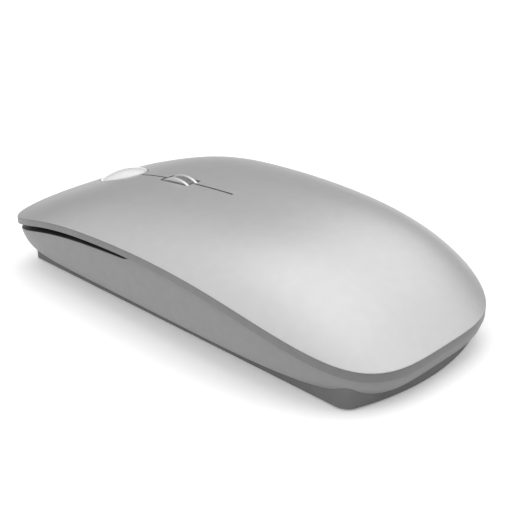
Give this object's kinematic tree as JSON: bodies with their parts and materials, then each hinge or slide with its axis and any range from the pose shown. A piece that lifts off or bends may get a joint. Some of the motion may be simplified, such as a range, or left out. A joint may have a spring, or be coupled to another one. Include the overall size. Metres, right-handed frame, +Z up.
{
  "type": "computer mouse",
  "caption": "Low cordless computer mouse with a one-piece domed cover split into two long keys, a scroll wheel, an oval nose window and a battery base.",
  "frame": {"origin": "middle of the footprint at desk level, under the glide pads", "axes": "+Y to the nose, away from the palm; +X to the user's right; +Z up"},
  "size_m": [0.0616, 0.106, 0.0235],
  "materials": {
    "silver_shell": "satin silver paint on plastic",
    "grey_housing": "satin grey plastic",
    "dark_base": "fine matt texture",
    "white_window": "polished milky plastic",
    "led_body": "clear epoxy",
    "board_green": "solder mask",
    "chip_black": "moulded epoxy",
    "lens_clear": "clear moulded plastic",
    "switch_black": "moulded plastic",
    "plunger_white": "smooth plastic",
    "encoder_grey": "moulded plastic",
    "rubber_black": "ribbed rubber",
    "bright_rim": "bright plating on plastic",
    "axle_steel": "drawn steel",
    "inner_plastic": "moulded plastic",
    "crystal_can": "drawn can",
    "capacitor_sleeve": "shrink sleeve",
    "cell_jacket": "printed steel jacket, left plain",
    "contact_nickel": "nickel plate",
    "red_insulation": "soft insulation",
    "black_insulation": "soft insulation",
    "usb_steel": "folded sheet",
    "screw_steel": "dark zinc plate",
    "glide_pad": "slippery fluoropolymer"
  },
  "bodies": {
    "case": {"base_plate": "dark_base", "side_housing": "grey_housing", "palm_cover": "silver_shell", "nose_window": "white_window", "status_led": "led_body", "circuit_board": "board_green", "sensor_chip": "chip_black", "sensor_lens": "lens_clear", "sensor_led": "led_body", "left_switch_body": "switch_black", "right_switch_body": "switch_black", "encoder_housing": "encoder_grey", "wheel_switch": "switch_black", "wheel_post": "inner_plastic", "control_chip": "chip_black", "radio_chip": "chip_black", "crystal": "crystal_can", "capacitor": "capacitor_sleeve", "battery_tray": "inner_plastic", "left_battery": "cell_jacket", "right_battery": "cell_jacket", "battery_springs": "contact_nickel", "battery_plates": "contact_nickel", "positive_lead": "red_insulation", "negative_lead": "black_insulation", "power_switch_body": "switch_black", "receiver_sleeve": "inner_plastic", "case_screws": "screw_steel", "board_screws": "screw_steel", "front_left_foot": "glide_pad", "front_right_foot": "glide_pad", "rear_left_foot": "glide_pad", "rear_right_foot": "glide_pad"},
    "left_key_body": {"left_key": "silver_shell"},
    "right_key_body": {"right_key": "silver_shell"},
    "left_plunger": {"left_switch_plunger": "plunger_white"},
    "right_plunger": {"right_switch_plunger": "plunger_white"},
    "wheel_carrier": {"axle_bush": "inner_plastic"},
    "scroll_wheel": {"wheel_hub": "inner_plastic", "wheel_tyre": "rubber_black", "wheel_rims": "bright_rim", "wheel_axle": "axle_steel"},
    "wheel_plunger": {"wheel_switch_plunger": "plunger_white"},
    "power_slider": {"power_knob": "inner_plastic"},
    "door": {"battery_door": "dark_base"},
    "receiver": {"receiver_cap": "inner_plastic", "receiver_plug": "usb_steel"}
  },
  "joints": [
    {"name": "left_key_press", "type": "hinge", "parent": "case", "child": "left_key_body", "pos_m": [-0.015, 0.0056, 0.0205], "axis": [-1, 0, 0], "range_deg": [0, 1.1], "stiffness_Nm_per_rad": 1},
    {"name": "right_key_press", "type": "hinge", "parent": "case", "child": "right_key_body", "pos_m": [0.015, 0.0056, 0.0205], "axis": [-1, 0, 0], "range_deg": [0, 1.1], "stiffness_Nm_per_rad": 1},
    {"name": "left_plunger_slide", "type": "slide", "parent": "case", "child": "left_plunger", "axis": [0, 0, -1], "range_m": [0, 0.0006]},
    {"name": "right_plunger_slide", "type": "slide", "parent": "case", "child": "right_plunger", "axis": [0, 0, -1], "range_m": [0, 0.0006]},
    {"name": "wheel_press", "type": "hinge", "parent": "case", "child": "wheel_carrier", "pos_m": [-0.0073, 0.0224, 0.0147], "axis": [0, 1, 0], "range_deg": [0, 1.2], "stiffness_Nm_per_rad": 0.33},
    {"name": "wheel_spin", "type": "hinge", "parent": "wheel_carrier", "child": "scroll_wheel", "pos_m": [0, 0.0224, 0.0147], "axis": [1, 0, 0], "continuous": true},
    {"name": "wheel_plunger_slide", "type": "slide", "parent": "case", "child": "wheel_plunger", "axis": [0, 0, -1], "range_m": [0, 0.0004]},
    {"name": "power_slide", "type": "slide", "parent": "case", "child": "power_slider", "axis": [0, 1, 0], "range_m": [0, 0.0024]},
    {"name": "door_swing", "type": "hinge", "parent": "case", "child": "door", "pos_m": [0, 0.00485, 0.0005], "axis": [1, 0, 0], "range_deg": [0, 70]},
    {"name": "receiver_pull", "type": "slide", "parent": "case", "child": "receiver", "axis": [0, 0, -1], "range_m": [0, 0.0195]}
  ],
  "couplings": [
    {"joint": "left_plunger_slide", "follows": "left_key_press", "m_per_rad": 0.0274},
    {"joint": "right_plunger_slide", "follows": "right_key_press", "m_per_rad": 0.0274},
    {"joint": "wheel_plunger_slide", "follows": "wheel_press", "m_per_rad": 0.0153}
  ]
}
